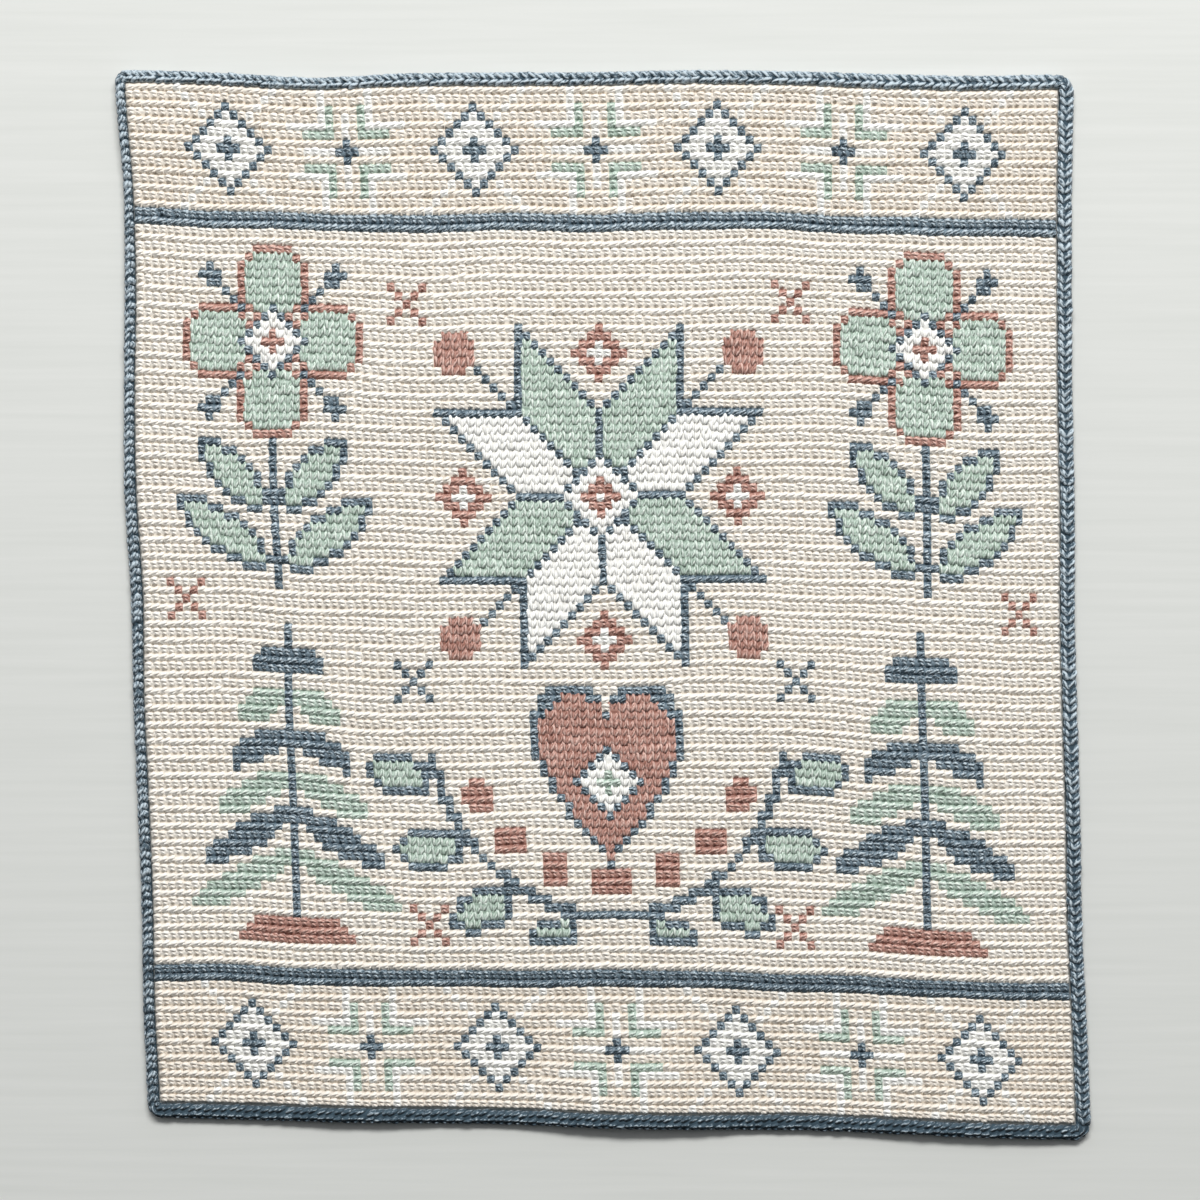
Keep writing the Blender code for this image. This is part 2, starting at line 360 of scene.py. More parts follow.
# %% [markdown]
# ## Strands of yarn
# A strand is a spindle: a few rings round a curved line, with a point at each end. Rings of four or five
# corners are enough at this size, because smooth shading rounds them. All the strands of one yarn go into
# one mesh, laid as whole arrays. Each strand also gets its own small square in a UV map, so a bake has
# room for it, and a second map that runs along and round the yarn, for its twist.


# %% A batch of spindles
def spindles(centre, side_reach, out_reach, sides):
    """Closed spindles. Centre holds each strand's points, tip to tip. A ring's corner is its centre plus
    the cosine of its turn times the reach sideways plus the sine times the reach outwards, where
    sideways is at right angles to both the strand and the wall's own outward direction. The first corner
    lies at the back, so the seam of the map stays out of sight."""
    count, stations = centre.shape[:2]
    rings = stations - 2
    along = centre[:, 2:] - centre[:, :-2]
    along /= np.linalg.norm(along, axis=-1, keepdims=True)
    sideways = np.cross(along, np.array([0.0, -1.0, 0.0]))
    sideways /= np.linalg.norm(sideways, axis=-1, keepdims=True)
    outwards = np.cross(sideways, along)
    turn = 2 * np.pi * np.arange(sides) / sides - np.pi / 2
    corner = centre[:, 1:-1, None]
    corner = corner + sideways[:, :, None] * (np.cos(turn)[:, None] * side_reach[:, :, None, None])
    corner = corner + outwards[:, :, None] * (np.sin(turn)[:, None] * out_reach[:, :, None, None])
    corner = corner.reshape(count, rings * sides, 3)
    points = np.concatenate([corner, centre[:, :1], centre[:, -1:]], axis=1)

    ring, side = np.indices((rings - 1, sides)).reshape(2, -1)
    beside = (side + 1) % sides
    here, there = ring * sides, (ring + 1) * sides
    quads = np.stack([here + side, there + side, there + beside, here + beside], axis=1)
    edge = np.arange(sides)
    next_edge = (edge + 1) % sides
    last = (rings - 1) * sides
    tip = np.full(sides, rings * sides)
    first_cap = np.stack([tip, edge, next_edge], axis=1)
    last_cap = np.stack([tip + 1, last + next_edge, last + edge], axis=1)
    faces = np.concatenate([quads.ravel(), first_cap.ravel(), last_cap.ravel()])
    sizes = np.concatenate([np.full(len(quads), 4), np.full(2 * sides, 3)])

    # Shares along and round for each corner of each face, the last side ending at 1 and not at 0.
    step = 1 / (stations - 1)
    quad_along = np.stack([ring + 1, ring + 2, ring + 2, ring + 1], axis=1) * step
    quad_round = np.stack([side, side, side + 1, side + 1], axis=1) / sides
    cap_round = np.stack([edge + 0.5, edge, edge + 1], axis=1) / sides
    first_along = np.tile([0.0, step, step], sides)
    last_along = np.tile([1.0, 1 - step, 1 - step], sides)
    shares = np.stack([
        np.concatenate([quad_along.ravel(), first_along, last_along]),
        np.concatenate([quad_round.ravel(), cap_round.ravel(), cap_round[:, [0, 2, 1]].ravel()]),
    ], axis=1)
    return {
        "points": points.reshape(-1, 3),
        "faces": (faces + np.arange(count)[:, None] * points.shape[1]).ravel(),
        "sizes": np.tile(sizes, count),
        "shares": np.tile(shares, (count, 1)),
        "strand_of_corner": np.repeat(np.arange(count), len(faces)),
        "strand_of_point": np.repeat(np.arange(count), points.shape[1]),
        "count": count,
    }


def bend(control, stations):
    """Points of a quadratic curve through control's three points: (1-t) squared times the first, 2t(1-t)
    times the second and t squared times the third."""
    t = np.linspace(0, 1, stations)[:, None]
    start, middle, end = (control[:, None, index] for index in range(3))
    return start * (1 - t) ** 2 + middle * 2 * t * (1 - t) + end * t**2


# %% A mesh from batches
def add_object(name, data):
    """Puts a mesh, a light or a camera into the scene."""
    made = bpy.data.objects.new(name, data)
    bpy.context.scene.collection.objects.link(made)
    return made


def lay_mesh(name, batches, tones_and_shades, material):
    """Joins batches of spindles into one smooth mesh object, with the bake's map, the yarn's map and each
    strand's own tone, with any painted shade in it, as an attribute."""
    corner_shift = np.cumsum([0] + [len(b["points"]) for b in batches])
    strand_shift = np.cumsum([0] + [b["count"] for b in batches])
    points = np.concatenate([b["points"] for b in batches])
    faces = np.concatenate([b["faces"] + shift for b, shift in zip(batches, corner_shift)])
    sizes = np.concatenate([b["sizes"] for b in batches])
    shares = np.concatenate([b["shares"] for b in batches])
    strand = np.concatenate([b["strand_of_corner"] + shift for b, shift in zip(batches, strand_shift)])
    of_point = np.concatenate([b["strand_of_point"] + shift for b, shift in zip(batches, strand_shift)])

    mesh = bpy.data.meshes.new(name)
    mesh.vertices.add(len(points))
    mesh.vertices.foreach_set("co", points.ravel())
    mesh.loops.add(len(faces))
    mesh.loops.foreach_set("vertex_index", faces)
    mesh.polygons.add(len(sizes))
    mesh.polygons.foreach_set("loop_start", np.concatenate([[0], np.cumsum(sizes)[:-1]]))
    mesh.update(calc_edges=True)
    mesh.polygons.foreach_set("use_smooth", np.ones(len(sizes), bool))

    cells = math.ceil(math.sqrt(strand_shift[-1]))
    cell = np.stack([strand % cells, strand // cells], axis=1)
    bake = mesh.uv_layers.new(name="OFBake")
    bake.data.foreach_set("uv", ((cell + 0.06 + 0.88 * shares) / cells).ravel())
    yarn = mesh.uv_layers.new(name="yarn")
    yarn.data.foreach_set("uv", shares.ravel())
    tone_and_shade = mesh.attributes.new("tone_and_shade", "FLOAT", "POINT")
    tone_and_shade.data.foreach_set("value", np.concatenate(tones_and_shades)[of_point].astype(np.float32))
    mesh.validate()

    mesh.materials.append(material)
    print(f"{name}: {strand_shift[-1]} strands, {int((sizes - 2).sum())} triangles")
    return add_object(name, mesh)


# %% [markdown]
# ## Combed cotton yarn
# The yarn is dull combed cotton, about 2 mm thick, three plies twisted together. The plies show as fine
# slanting ridges along each strand, and loose fibre ends give a soft bloom at grazing angles. The twist
# is a sine of the turns along plus three times the turns round, read from the strand's own map. It bumps
# the surface, and it also darkens the colour in the grooves and lightens it on the crests: painted shade
# and painted highlight. Dye takes a little unevenly, so each strand has its own tone, and a noise in real
# millimetres varies it again. On slate stitches and on the edging that tone also holds painted shade.


# %% Helpers for colours and nodes
def linear(hex_colour):
    """An sRGB hex colour as linear RGBA: each channel through the sRGB curve backwards."""
    channels = [int(hex_colour[index : index + 2], 16) / 255 for index in (1, 3, 5)]
    return (*(c / 12.92 if c <= 0.04045 else ((c + 0.055) / 1.055) ** 2.4 for c in channels), 1.0)


def add_node(tree, kind, inputs=None, **settings):
    """Adds one node: settings are its own properties, and inputs names sockets, each with a value or with
    the output that feeds it."""
    made = tree.nodes.new(kind)
    for name, value in settings.items():
        setattr(made, name, value)
    for socket, value in (inputs or {}).items():
        if isinstance(value, bpy.types.NodeSocket):
            tree.links.new(value, made.inputs[socket])
        else:
            made.inputs[socket].default_value = value
    return made


def new_finish(name, roughness, specular):
    """A material and its shader, with how rough it is and how much it mirrors."""
    material = bpy.data.materials.new(name)
    material.use_nodes = True
    shader = material.node_tree.nodes["Principled BSDF"]
    shader.inputs["Roughness"].default_value = roughness
    shader.inputs["Specular IOR Level"].default_value = specular
    return material, shader


# %% The yarn finish
PLIES = 3
TURNS_PER_STRAND = 1.3
STRAND_MM = 6.0
ROUND_MM = 7.0
MOTTLE_MM = 5.0
# Real cotton fibre is finer. Its streaks are drawn as coarse as they need to show.
STREAK_MM = 1.3
FIBRE_MM = 0.7
STRAND_SEED = 90.0  # carries strands of nearly the same tone to far places of the noise
MOTTLE_AMOUNT = 0.4
FIBRE_AMOUNT = 10.0  # times a yarn's fleck


def cotton_yarn(name, shade, body, light, fleck):
    """Combed cotton, ring spun and plied: dull, with a soft bloom of fibre ends. Shade, body and light are
    its colour at the dark end, in the middle and at the light end. Tone and noise move it along them, and
    the twist moves it towards shade in the grooves between the plies and towards light on their crests,
    painted shade and painted highlight. Fleck is how much single fibres differ, which shows on dark yarn
    more than on pale, and also how strongly the twist is painted."""
    material, shader = new_finish(name, roughness=0.82, specular=0.3)
    tree = material.node_tree
    shader.inputs["Sheen Weight"].default_value = 0.18
    shader.inputs["Sheen Roughness"].default_value = 0.5

    place = add_node(tree, "ShaderNodeTexCoord").outputs["Object"]
    yarn = add_node(tree, "ShaderNodeUVMap", uv_map="yarn").outputs["UV"]
    share = add_node(tree, "ShaderNodeSeparateXYZ", {"Vector": yarn})
    turns = add_node(
        tree, "ShaderNodeMath", {0: share.outputs["X"], 1: TURNS_PER_STRAND}, operation="MULTIPLY",
    )
    phase = add_node(
        tree, "ShaderNodeMath", {0: share.outputs["Y"], 1: float(PLIES), 2: turns.outputs[0]},
        operation="MULTIPLY_ADD",
    )
    angle = add_node(tree, "ShaderNodeMath", {0: phase.outputs[0], 1: math.tau}, operation="MULTIPLY")
    ply = add_node(tree, "ShaderNodeMath", {0: angle.outputs[0]}, operation="SINE")

    mottle = add_node(tree, "ShaderNodeTexNoise", {
        "Vector": place, "Scale": 1 / (MOTTLE_MM * MM), "Detail": 2.0,
    })
    tone_and_shade = add_node(tree, "ShaderNodeAttribute", attribute_name="tone_and_shade")
    seed = add_node(tree, "ShaderNodeMath", {0: tone_and_shade.outputs["Fac"], 1: STRAND_SEED}, operation="MULTIPLY")
    streaks = add_node(tree, "ShaderNodeMapping", {
        "Vector": yarn, "Scale": (STRAND_MM / STREAK_MM, ROUND_MM / FIBRE_MM, 1.0),
    })
    fibre = add_node(tree, "ShaderNodeTexNoise", {
        "Vector": streaks.outputs["Vector"], "W": seed.outputs[0], "Scale": 1.0, "Detail": 2.0,
    }, noise_dimensions="4D")

    # Tone leads, then the mottle, the plies with their painted shade and highlight, and the fibres, each
    # added to what came before.
    added = tone_and_shade.outputs["Fac"]
    for part, amount in (
        (mottle.outputs["Fac"], MOTTLE_AMOUNT),
        (ply.outputs[0], 0.08 + 0.6 * fleck),
        (fibre.outputs["Fac"], FIBRE_AMOUNT * fleck),
    ):
        total = add_node(tree, "ShaderNodeMath", {0: part, 1: amount, 2: added}, operation="MULTIPLY_ADD")
        added = total.outputs[0]
    # The tone and both noises lie round a half, so this sum belongs to the body colour.
    middle_share = 0.5 + (MOTTLE_AMOUNT + FIBRE_AMOUNT * fleck) / 2
    ramp = add_node(tree, "ShaderNodeMapRange", {
        "Value": added, "From Min": middle_share - 0.5, "From Max": middle_share + 0.5,
    })
    colours = add_node(tree, "ShaderNodeValToRGB", {"Fac": ramp.outputs["Result"]})
    colours.color_ramp.elements[0].position = 0.1
    colours.color_ramp.elements[0].color = linear(shade)
    colours.color_ramp.elements[1].position = 0.9
    colours.color_ramp.elements[1].color = linear(light)
    colours.color_ramp.elements.new(0.5).color = linear(body)
    tree.links.new(colours.outputs["Color"], shader.inputs["Base Color"])

    height = add_node(
        tree, "ShaderNodeMath", {0: fibre.outputs["Fac"], 1: 0.8, 2: ply.outputs[0]},
        operation="MULTIPLY_ADD",
    )
    bump = add_node(tree, "ShaderNodeBump", {
        "Strength": 0.8, "Distance": 0.2 * MM, "Height": height.outputs[0],
    })
    tree.links.new(bump.outputs["Normal"], shader.inputs["Normal"])
    return material


# Shade, body and light of each yarn. The shade colour is also painted shade: in the ground's grooves and
# all over the edging's core.
YARN_COLOURS = {
    "cream": ("#ece2d4", "#f8f2e9", "#fcf9f3"),
    "beige": ("#e4d7c6", "#f3ebe0", "#f9f4ec"),
    "white": ("#f0eee8", "#fcfbf7", "#fefefb"),
    "sage": ("#93a798", "#c6d6cb", "#ecf5ec"),
    "terracotta": ("#8d5f52", "#c2968a", "#e6c3b7"),
    "slate": ("#40525e", "#7f909c", "#c0cdd5"),
}
FLECK = {"cream": 0.10, "beige": 0.14, "white": 0.06, "sage": 0.26, "terracotta": 0.26, "slate": 0.50}
finishes = {
    yarn: cotton_yarn(yarn + "_cotton_yarn", *colours, FLECK[yarn])
    for yarn, colours in YARN_COLOURS.items()
}
print("yarn finishes:", list(finishes))

# %% [markdown]
# ## Stitches of the front
# Worked back and forth, the rows show by turns the two faces of a single crochet stitch: in one row each
# stroke slants from low left to high right and lies over the next, and in the other it arches over a
# small bead. Upright stitches show two legs that meet below. Each kind is a few control points in
# stitches across, rows down and mm off the cloth's back, and a little seeded unevenness keeps the hand
# of the maker in it.

# %% The kinds of stitch
LONG_SLANT, ARCH, UPRIGHT = range(3)
# For each kind: start, middle and end of its main strand, then of its second strand.
STITCH_LINES = np.array([
    [[[-0.16, 0.98, 2.7], [0.38, 0.42, 3.8], [1.12, 0.08, 2.7]],
     [[-0.02, 1.04, 2.7], [0.60, 0.74, 3.6], [1.16, 0.36, 2.9]]],
    [[[-0.20, 0.56, 2.9], [0.32, 0.08, 3.7], [1.16, 0.36, 2.9]],
     [[0.04, 0.56, 3.0], [0.46, 0.70, 4.0], [1.02, 0.82, 2.6]]],
    [[[0.06, -0.48, 2.9], [0.14, 0.40, 3.8], [0.44, 1.16, 2.7]],
     [[0.94, -0.26, 2.9], [0.86, 0.50, 3.7], [0.58, 1.24, 2.6]]],
])
STITCH_REACH = np.array([[1.46, 1.36], [1.42, 1.50], [1.16, 1.16]]) * MM
STITCH_FLATNESS = 0.78
RING_SHARES = np.array([0.82, 1.0, 0.88])
SECOND_RING_SHARES = np.array([0.95, 0.95])
BACK_LINE = np.array([[-0.10, 0.50, 1.52], [0.50, 0.42, 0.52], [1.10, 0.50, 1.52]])
BACK_REACH = 1.25 * MM
BACK_FLATNESS = 0.62
UPRIGHT_UNEVENNESS = 1.6  # times that of the other stitches
HEIGHT_SHIFT = 2  # mm that a stitch's height strays for one stitch's width of straying

rng = np.random.default_rng(117)
row_tone = rng.normal(0.0, 0.04, ROWS)
stitch_tone_and_shade = rng.normal(0.5, 0.08, (ROWS, STITCHES))
shift = rng.normal(0.0, 0.05, (ROWS, STITCHES, 3))
plump = rng.normal(1.0, 0.06, (ROWS, STITCHES))
shift[upright] *= UPRIGHT_UNEVENNESS

# Zones of rows from the top: band, divider, field, divider, band. Slate gets its own painted light and
# shade in each zone: a lone stitch of it sinks into shade between pale ones, and the light falls off
# towards the bottom. The dividing rows stand up by some mm.
ZONE_ROWS = (BAND_ROWS, DIVIDER_ROWS, FIELD_ROWS, DIVIDER_ROWS, BAND_ROWS)
SLATE_SHADE_TONES = (-0.16, 0.08, -0.12, -0.24, -0.18)
ZONE_HEIGHTS = (0.0, 0.5, 0.0, 0.5, 0.0)
stitch_tone_and_shade += np.repeat(SLATE_SHADE_TONES, ZONE_ROWS)[:, None] * (chart == SLATE)
raised = np.repeat(ZONE_HEIGHTS, ZONE_ROWS)

kind = np.where(upright, UPRIGHT, np.where(np.arange(ROWS)[:, None] % 2, ARCH, LONG_SLANT))


def stitch_strands(rows, columns, which, stations, sides, ring_shares):
    """The main or second strands of some stitches, on the cloth."""
    kinds = kind[rows, columns]
    line_points = STITCH_LINES[kinds, which].copy()
    line_points[:, :, :2] += shift[rows, columns, None, :2]
    line_points[:, :, 2] += raised[rows, None] + shift[rows, columns, None, 2] * HEIGHT_SHIFT
    path = bend(line_points, stations)
    across = (columns[:, None] + path[:, :, 0]) / STITCHES
    centre = cloth_point(across, rows[:, None] + path[:, :, 1], path[:, :, 2] * MM)
    reach = STITCH_REACH[kinds, which][:, None] * plump[rows, columns, None] * ring_shares
    return spindles(centre, reach, reach * STITCH_FLATNESS, sides)


def back_strands(rows, columns):
    """The low bar that each stitch shows on the back."""
    path = bend(np.repeat(BACK_LINE[None], len(rows), axis=0), 3)
    across = (columns[:, None] + path[:, :, 0]) / STITCHES
    centre = cloth_point(across, rows[:, None] + path[:, :, 1], path[:, :, 2] * MM)
    reach = np.full((len(rows), 1), BACK_REACH)
    return spindles(centre, reach, reach * BACK_FLATNESS, 4)


def stitch_piece(name, yarn, chosen):
    """All the chosen stitches of one yarn as one piece: main strands, second strands and back bars."""
    rows, columns = np.nonzero(chosen & (chart == yarn))
    flat = kind[rows, columns] != UPRIGHT
    tones_and_shades = stitch_tone_and_shade[rows, columns] + row_tone[rows]
    batches = [
        stitch_strands(rows, columns, 0, 5, 5, RING_SHARES),
        stitch_strands(rows[flat], columns[flat], 1, 4, 4, SECOND_RING_SHARES),
        stitch_strands(rows[~flat], columns[~flat], 1, 5, 5, RING_SHARES),
        back_strands(rows, columns),
    ]
    made = lay_mesh(name, batches, [tones_and_shades, tones_and_shades[flat], tones_and_shades[~flat], tones_and_shades], finishes[YARNS[yarn]])
    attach(made, "root")
    return made


# %% Lay the stitches
row_of = np.indices(chart.shape)[0]
everywhere = np.ones(chart.shape, bool)
upper_half = row_of < ROWS // 2
stitch_pieces = [
    stitch_piece("cream_stitches_upper", CREAM, upper_half),
    stitch_piece("cream_stitches_lower", CREAM, ~upper_half),
    stitch_piece("beige_stitches_top", BEIGE, upper_half),
    stitch_piece("beige_stitches_bottom", BEIGE, ~upper_half),
    stitch_piece("white_stitches", WHITE, everywhere),
    stitch_piece("sage_stitches", SAGE, everywhere),
    stitch_piece("terracotta_stitches", TERRACOTTA, everywhere),
    stitch_piece("slate_stitches", SLATE, everywhere),
]

# %% [markdown]
# ## The ground under the strands
# Between the strands the eye should meet more yarn and never the wall. The real cloth has the bodies of
# the stitches and the carried yarns there. A thin closed sheet does it: its front runs just under the
# strands and its back is ribbed. It is the cloth that the record declares, so it stands for the packed
# panel. Its colour comes from the same chart, held on the faces as an attribute, with painted shade in it:
# each stitch's shade colour in the grooves, and all of it a little darker, because little light reaches
# it.

# %% The ground sheet
RIB_HEIGHTS = np.array([2.4, 3.6, 3.8]) * MM  # at the groove above a row, then a third and two thirds down
UPRIGHT_RISE = np.array([0.7, -0.3, -0.5]) * MM  # upright stitches fill the groove between rows
GROUND_BACK = 1.2 * MM
RAISED_SHARE = 0.4  # how much of a dividing row's extra height the ground takes


def grid_faces(number):
    """Faces of a grid of point numbers, turned to the front."""
    a, b, c, d = number[:-1, :-1], number[1:, :-1], number[1:, 1:], number[:-1, 1:]
    return np.stack([a, b, c, d], axis=-1).reshape(-1, 4)


def ground_sheet():
    """A ribbed front grid with three steps a row, a back grid with one, and faces that close the rim."""
    ribs = len(RIB_HEIGHTS)
    columns = np.arange(STITCHES + 1) / STITCHES
    flat_heights = np.tile(RIB_HEIGHTS, ROWS) + np.repeat(raised, ribs) * RAISED_SHARE * MM
    rise = np.tile(UPRIGHT_RISE, ROWS)[:, None] * np.repeat(upright, ribs, axis=0)
    heights = np.pad(flat_heights[:, None] + rise, ((0, 1), (0, 1)), mode="edge")
    heights[-1] = RIB_HEIGHTS[0]
    front = cloth_point(columns, np.arange(ROWS * ribs + 1)[:, None] / ribs, heights)
    back = cloth_point(columns, np.arange(ROWS + 1.0)[:, None], GROUND_BACK)
    number = np.arange(front[..., 0].size).reshape(front.shape[:2])
    behind = np.arange(back[..., 0].size).reshape(back.shape[:2]) + number.size

    front_faces, back_faces = grid_faces(number), grid_faces(behind)[:, ::-1]
    above = np.stack([number[0, :-1], number[0, 1:], behind[0, 1:], behind[0, :-1]], axis=1)
    below = np.stack([number[-1, 1:], number[-1, :-1], behind[-1, :-1], behind[-1, 1:]], axis=1)
    first = np.arange(ROWS) * ribs
    steps = [first + step for step in range(ribs + 1)]
    right = np.stack([*(number[step, -1] for step in steps), behind[1:, -1], behind[:-1, -1]], axis=1)
    left = np.stack([*(number[step, 0] for step in steps[::-1]), behind[:-1, 0], behind[1:, 0]], axis=1)
    groups = [front_faces, back_faces, above, below, right, left]
    mesh = bpy.data.meshes.new("cloth_ground")
    points = np.concatenate([front.reshape(-1, 3), back.reshape(-1, 3)])
    mesh.from_pydata(points, [], [face for group in groups for face in group.tolist()])
    mesh.polygons.foreach_set("use_smooth", np.ones(len(mesh.polygons), bool))

    # Each corner takes its stitch's shade colour in a groove and its body colour on a crown: painted shade
    # in the grooves.
    rim_count = len(above) + len(below) + len(right) + len(left)
    yarn_of_face = np.concatenate([np.repeat(chart, ribs, axis=0).ravel(), chart.ravel()])
    yarn_of_face = np.concatenate([yarn_of_face, np.full(rim_count, SLATE)])
    sizes = np.concatenate([np.full(len(group), group.shape[1]) for group in groups])
    yarn_of_corner = np.repeat(yarn_of_face, sizes)
    point_of_corner = np.concatenate([group.ravel() for group in groups])
    on_crown = (point_of_corner < number.size) & (point_of_corner // (STITCHES + 1) % ribs > 0)
    shade_or_body = np.array([[linear(YARN_COLOURS[yarn][level]) for yarn in YARNS] for level in (0, 1)])
    colour = mesh.attributes.new("yarn_and_shade_colour", "FLOAT_COLOR", "CORNER")
    colour.data.foreach_set("color", shade_or_body[on_crown.astype(int), yarn_of_corner].ravel())
    print("cloth_ground:", int((sizes - 2).sum()), "triangles")
    return add_object("cloth_ground", mesh)


def carried_yarn():
    """The same cotton seen deep between the strands: rough, with no bloom. Its colour, read from the
    faces, holds painted shade, and a fibre noise darkens it by up to a tenth, painted shade as well.
    """
    material, shader = new_finish("carried_cotton_yarn", roughness=0.9, specular=0.2)
    tree = material.node_tree
    place = add_node(tree, "ShaderNodeTexCoord").outputs["Object"]
    dyed_and_shaded = add_node(tree, "ShaderNodeAttribute", attribute_name="yarn_and_shade_colour")
    fibre = add_node(tree, "ShaderNodeTexNoise", {"Vector": place, "Scale": 1 / (1.2 * MM), "Detail": 2.0})
    # Painted shade: a fibre noise darkens the colour by up to a tenth, since little light reaches it.
    fibre_noise_shade = add_node(tree, "ShaderNodeMapRange", {
        "Value": fibre.outputs["Fac"], "To Min": 0.9, "To Max": 1.0,
    })
    darker = add_node(tree, "ShaderNodeVectorMath", {
        0: dyed_and_shaded.outputs["Color"], "Scale": fibre_noise_shade.outputs[0],
    }, operation="SCALE")
    tree.links.new(darker.outputs[0], shader.inputs["Base Color"])
    bump = add_node(tree, "ShaderNodeBump", {
        "Strength": 0.5, "Distance": 0.2 * MM, "Height": fibre.outputs["Fac"],
    })
    tree.links.new(bump.outputs["Normal"], shader.inputs["Normal"])
    return material


ground = ground_sheet()
ground.data.materials.append(carried_yarn())
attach(ground, "root")
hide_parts("panel")

# %% [markdown]
# ## The edging
# All round the cloth runs a thick slate edging, crocheted on afterwards. It looks different on each side:
# a braid of two rows of slanting strands at the top, long wraps at the left, small links at the right, and
# at the bottom slants over a row of beads. Painted shade makes the bottom side dark and the other sides
# darker towards the bottom, with the top and sides painted lighter, as the light comes from above. A core
# tube carries the strands, so no gap opens between them; it is painted in the slate's shade colour all
# over, painted shade for the pits between the strands. The route round the cloth is measured once, and
# every strand is placed by its distance along the route, its share of the width and its height off the
# wall.

# %% The route round the cloth
EDGING_WIDTH = {"top": 7.2 * MM, "right": 8.0 * MM, "bottom": 8.0 * MM, "left": 6.8 * MM}
SEAM_GAP = 0.3 * MM
CORNER_STEPS = 8
SIDES = ("top", "right", "bottom", "left")


def rim_points(side):
    """Points along one side of the cloth in clockwise order, a stitch or a row apart."""
    across, rows = np.linspace(0, 1, STITCHES + 1), np.arange(ROWS + 1.0)
    places = {
        "top": (across, np.zeros(len(across))),
        "right": (np.ones(len(rows)), rows),
        "bottom": (across[::-1], np.full(len(across), float(ROWS))),
        "left": (np.zeros(len(rows)), rows[::-1]),
    }
    return cloth_point(*places[side], 0.0)


def outward_of(points):
    """Unit direction in the wall's plane, away from the cloth: the way along turned by a quarter."""
    along = np.gradient(points, axis=0)
    outward = np.stack([-along[:, 2], np.zeros(len(points)), along[:, 0]], axis=1)
    return outward / np.linalg.norm(outward, axis=1, keepdims=True)


def widths_along(side, count):
    """Widths of the edging at even steps along one side, clockwise: its own width less its narrowing."""
    share = np.linspace(1, 0, count) if side == "left" else np.linspace(0, 1, count)
    widths = np.full(count, EDGING_WIDTH[side])
    if side in NARROWING:
        widths -= along_table(NARROWING[side], share) * MM
    return widths


def edging_route():
    """Stations all round: rim point, outward direction, width and side. A corner turns in even steps."""
    rims, outwards, widths, sides = [], [], [], []
    for index, side in enumerate(SIDES):
        following = (index + 1) % len(SIDES)
        points = rim_points(side)
        outward = outward_of(points)
        side_widths = widths_along(side, len(points))
        next_width = widths_along(SIDES[following], 2)[0]
        share = np.linspace(0, 1, CORNER_STEPS + 1)[:, None]
        turned = outward[-1] * (1 - share) + outward_of(rim_points(SIDES[following]))[0] * share
        turned /= np.linalg.norm(turned, axis=1, keepdims=True)
        rims += [points[1:-1], np.repeat(points[-1:], CORNER_STEPS + 1, axis=0)]
        outwards += [outward[1:-1], turned]
        widths += [side_widths[1:-1], side_widths[-1] + (next_width - side_widths[-1]) * share[:, 0]]
        half = CORNER_STEPS // 2
        sides += [np.full(len(points) - 2 + half, index), np.full(CORNER_STEPS + 1 - half, following)]
    return np.concatenate(rims), np.concatenate(outwards), np.concatenate(widths), np.concatenate(sides)


route_rim, route_outward, route_width, route_side = edging_route()
middle_line = route_rim + route_outward * (SEAM_GAP + route_width[:, None] / 2)
steps = np.linalg.norm(np.roll(middle_line, -1, axis=0) - middle_line, axis=1)
route_place = np.concatenate([[0.0], np.cumsum(steps)])
route_length = route_place[-1]
print("edging is", round(route_length, 3), "m round")


def on_route(values, place):
    """Values of the stations at any distance along the closed route, straight between stations."""
    closed = np.concatenate([values, values[:1]])
    return np.interp(np.mod(place, route_length), route_place, closed)


def edging_point(place, share, height):
    """A point of the edging: distance along, share of the width from seam to rim, height off the wall."""
    rim = np.stack([on_route(route_rim[:, axis], place) for axis in range(3)], axis=-1)
    outward = np.stack([on_route(route_outward[:, axis], place) for axis in range(3)], axis=-1)
    outward /= np.linalg.norm(outward, axis=-1, keepdims=True)
    out = SEAM_GAP + share * on_route(route_width, place)
    point = rim + outward * np.asarray(out)[..., None]
    point[..., 1] -= height
    return point


# %% The edging's core and strands
EDGING_PITCH = 4.05 * MM
EDGING_PITCHES = 2 * round(route_length / EDGING_PITCH / 2)
EDGING_FLATNESS = 0.9
CORE_SIDES = 10
CORE_SHARE, CORE_SHARE_REACH = 0.50, 0.43
CORE_HEIGHT, CORE_HEIGHT_REACH = 2.3, 1.8
# For each side: control points of the inner and outer strand in pitches along, share of the width and mm
# off the wall, and the reach of each in mm.
EDGING_LINES = {
    "top": ([[-0.50, 0.00, 3.2], [0.20, 0.18, 4.3], [1.10, 0.54, 3.6]],
            [[-0.60, 0.92, 2.2], [0.00, 0.78, 4.5], [1.00, 0.42, 3.6]]),
    "right": ([[-0.55, 0.10, 3.2], [0.25, 0.22, 4.4], [0.90, 0.56, 3.6]],
              [[-0.50, 0.92, 2.4], [0.20, 0.76, 4.5], [1.00, 0.46, 3.6]]),
    "bottom": ([[-0.50, 0.06, 3.0], [0.20, 0.22, 4.3], [1.10, 0.56, 3.3]],
               [[-0.40, 0.56, 3.3], [0.30, 0.70, 4.0], [1.05, 0.84, 2.8]]),
    "left": ([[-0.30, 0.42, 3.4], [0.12, 0.20, 4.7], [0.78, 0.40, 3.4]],
             [[-0.65, 0.86, 2.7], [0.05, 0.72, 4.4], [0.95, 0.40, 3.6]]),
}
EDGING_REACH = {"top": (1.58, 1.56), "right": (1.55, 1.52), "bottom": (1.42, 1.32), "left": (1.48, 1.42)}
RIM_LINE = [[-0.40, 0.88, 3.1], [0.30, 0.90, 2.2], [1.00, 0.86, 1.4]]
UNDER_LINE = [[-0.20, 0.18, 1.4], [0.40, 0.50, 0.9], [0.90, 0.84, 1.4]]


